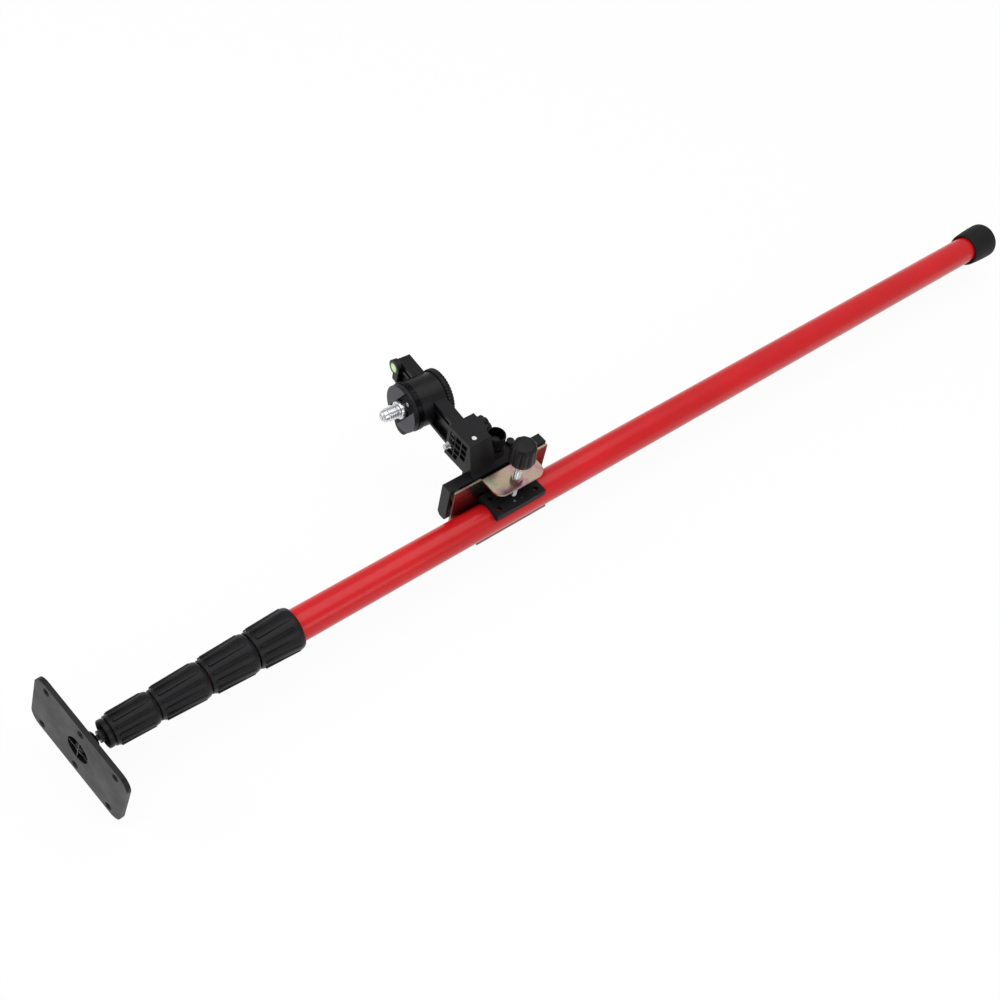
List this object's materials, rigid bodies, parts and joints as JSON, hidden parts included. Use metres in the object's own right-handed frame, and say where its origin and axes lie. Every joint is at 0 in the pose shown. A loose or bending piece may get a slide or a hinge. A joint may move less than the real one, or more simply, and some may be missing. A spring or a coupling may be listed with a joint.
{
  "type": "telescopic support pole",
  "caption": "Telescopic floor-to-ceiling support pole with twist locks, swivelling head plate and a clamp-on levelling bracket with a threaded instrument stud.",
  "frame": {"origin": "centre of the foot's end face, on the pole's axis", "axes": "+X along the pole from the foot to the head plate, the bracket's arm to -Y, the clamp screw along +Z"},
  "size_m": [1.4097, 0.2624, 0.1547],
  "materials": {
    "red_paint": "glossy red enamel",
    "black_rubber": "matt moulded rubber",
    "black_plastic": "satin moulded plastic",
    "dark_plastic": "dark grey moulded plastic",
    "gloss_plastic": "shiny moulded plastic",
    "nylon": "natural nylon",
    "steel": "bright zinc-plated steel",
    "black_steel": "oiled black-oxide steel",
    "chrome": "bright chrome",
    "zinc_gold": "yellow passivated zinc on steel",
    "aluminium": "machined aluminium",
    "brass": "machined brass",
    "level_green": "clear vial with green liquid"
  },
  "bodies": {
    "outer_tube": {"outer_tube": "red_paint", "foot_cap": "black_rubber", "lock_base_1": "dark_plastic", "lock_collet_1": "nylon"},
    "lock_grip_1": {"lock_grip_1": "black_plastic"},
    "tube_2": {"tube_2": "red_paint", "guide_bush_2": "nylon", "lock_base_2": "dark_plastic", "lock_collet_2": "nylon"},
    "lock_grip_2": {"lock_grip_2": "black_plastic"},
    "tube_3": {"tube_3": "red_paint", "guide_bush_3": "nylon", "lock_base_3": "dark_plastic", "lock_collet_3": "nylon"},
    "lock_grip_3": {"lock_grip_3": "black_plastic"},
    "tube_4": {"tube_4": "red_paint", "guide_bush_4": "nylon", "jack_base": "dark_plastic", "jack_clip": "steel"},
    "jack_grip": {"jack_grip": "black_plastic", "jack_nut": "brass", "jack_cap": "black_plastic"},
    "jack_screw": {"jack_screw": "black_steel"},
    "ball_stud": {"ball_stud": "black_steel"},
    "ball_liner": {"ball_liner": "nylon"},
    "head": {"ball_socket": "black_plastic", "head_plate": "dark_plastic"},
    "bracket": {"clamp_frame": "zinc_gold", "clamp_nut": "zinc_gold", "magnet_bar": "black_plastic", "magnets": "steel", "bar_screws": "steel", "arm_block": "black_plastic", "pivot_screw": "steel", "lock_nut": "steel"},
    "pressure_pad": {"pressure_pad": "black_rubber", "pad_pins": "steel"},
    "clamp_screw": {"clamp_screw": "chrome", "clamp_knob": "black_plastic"},
    "fine_screw": {"fine_screw": "steel", "fine_clip": "steel", "fine_knob": "black_plastic"},
    "lock_knob": {"lock_knob": "gloss_plastic", "lock_screw": "steel"},
    "arm": {"arm_rail": "black_plastic", "fine_nut": "brass", "level_holder": "black_plastic", "level_vial": "level_green"},
    "carriage": {"carriage": "black_plastic", "carriage_cover": "black_plastic", "cover_screws": "steel", "dial_ring": "dark_plastic"},
    "pinion_knob": {"pinion_knob": "black_plastic", "pinion": "steel"},
    "turntable": {"turntable": "dark_plastic", "turntable_screw": "steel", "band_screws": "steel", "adapter": "aluminium"}
  },
  "joints": [
    {"name": "tube_2_slide", "type": "slide", "parent": "outer_tube", "child": "tube_2", "axis": [1, 0, 0], "range_m": [0, 0.85]},
    {"name": "tube_3_slide", "type": "slide", "parent": "tube_2", "child": "tube_3", "axis": [1, 0, 0], "range_m": [0, 0.85]},
    {"name": "tube_4_slide", "type": "slide", "parent": "tube_3", "child": "tube_4", "axis": [1, 0, 0], "range_m": [0, 0.85]},
    {"name": "lock_grip_1_turn", "type": "hinge", "parent": "outer_tube", "child": "lock_grip_1", "pos_m": [1.1866, 0, 0], "axis": [1, 0, 0], "range_deg": [0, 120]},
    {"name": "lock_grip_2_turn", "type": "hinge", "parent": "tube_2", "child": "lock_grip_2", "pos_m": [1.2392, 0, 0], "axis": [1, 0, 0], "range_deg": [0, 120]},
    {"name": "lock_grip_3_turn", "type": "hinge", "parent": "tube_3", "child": "lock_grip_3", "pos_m": [1.2931, 0, 0], "axis": [1, 0, 0], "range_deg": [0, 120]},
    {"name": "jack_nut_turn", "type": "hinge", "parent": "tube_4", "child": "jack_grip", "pos_m": [1.345, 0, 0], "axis": [-1, 0, 0], "range_deg": [0, 3601]},
    {"name": "jack_extend", "type": "slide", "parent": "tube_4", "child": "jack_screw", "axis": [1, 0, 0], "range_m": [0, 0.03]},
    {"name": "head_spin", "type": "hinge", "parent": "jack_screw", "child": "ball_stud", "pos_m": [1.389, 0, 0], "axis": [1, 0, 0], "continuous": true},
    {"name": "head_nod", "type": "hinge", "parent": "ball_stud", "child": "ball_liner", "pos_m": [1.389, 0, 0], "axis": [0, 1, 0], "range_deg": [-9.5, 18]},
    {"name": "head_swing", "type": "hinge", "parent": "ball_liner", "child": "head", "pos_m": [1.389, 0, 0], "axis": [0, 0, 1], "range_deg": [-20, 7.5]},
    {"name": "bracket_slide", "type": "slide", "parent": "outer_tube", "child": "bracket", "axis": [1, 0, 0], "range_m": [-0.755, 0.205]},
    {"name": "pad_lift", "type": "slide", "parent": "bracket", "child": "pressure_pad", "axis": [0, 0, 1], "range_m": [0, 0.015]},
    {"name": "clamp_screw_turn", "type": "hinge", "parent": "pressure_pad", "child": "clamp_screw", "pos_m": [0.877, 0, 0.06], "axis": [0, 0, 1], "range_deg": [0, 4321]},
    {"name": "fine_knob_turn", "type": "hinge", "parent": "bracket", "child": "fine_screw", "pos_m": [0.887, -0.068, 0.062], "axis": [-1, 0, 0], "range_deg": [-60, 1170]},
    {"name": "arm_tilt", "type": "hinge", "parent": "bracket", "child": "arm", "pos_m": [0.906, -0.046, 0.065], "axis": [0, 0, 1], "range_deg": [-0.5, 8.5]},
    {"name": "lock_knob_turn", "type": "hinge", "parent": "bracket", "child": "lock_knob", "pos_m": [0.87733, -0.0417, 0.07], "axis": [0, 0, 1], "range_deg": [0, 270]},
    {"name": "pinion_turn", "type": "hinge", "parent": "carriage", "child": "pinion_knob", "pos_m": [0.89006, -0.13059, 0.0655], "axis": [-0.9976, 0.0698, 0], "range_deg": [-111, 230]},
    {"name": "carriage_slide", "type": "slide", "parent": "arm", "child": "carriage", "axis": [-0.0698, -0.9976, 0], "range_m": [-0.024, 0.0115]},
    {"name": "turntable_turn", "type": "hinge", "parent": "carriage", "child": "turntable", "pos_m": [0.93495, -0.13373, 0.0655], "axis": [0.9976, -0.0698, 0], "continuous": true}
  ],
  "couplings": [
    {"joint": "jack_nut_turn", "follows": "jack_extend", "rad_per_m": 2094.4},
    {"joint": "clamp_screw_turn", "follows": "pad_lift", "rad_per_m": 5026.5},
    {"joint": "arm_tilt", "follows": "fine_knob_turn", "ratio": 0.0072343},
    {"joint": "pinion_turn", "follows": "carriage_slide", "rad_per_m": -166.67}
  ]
}
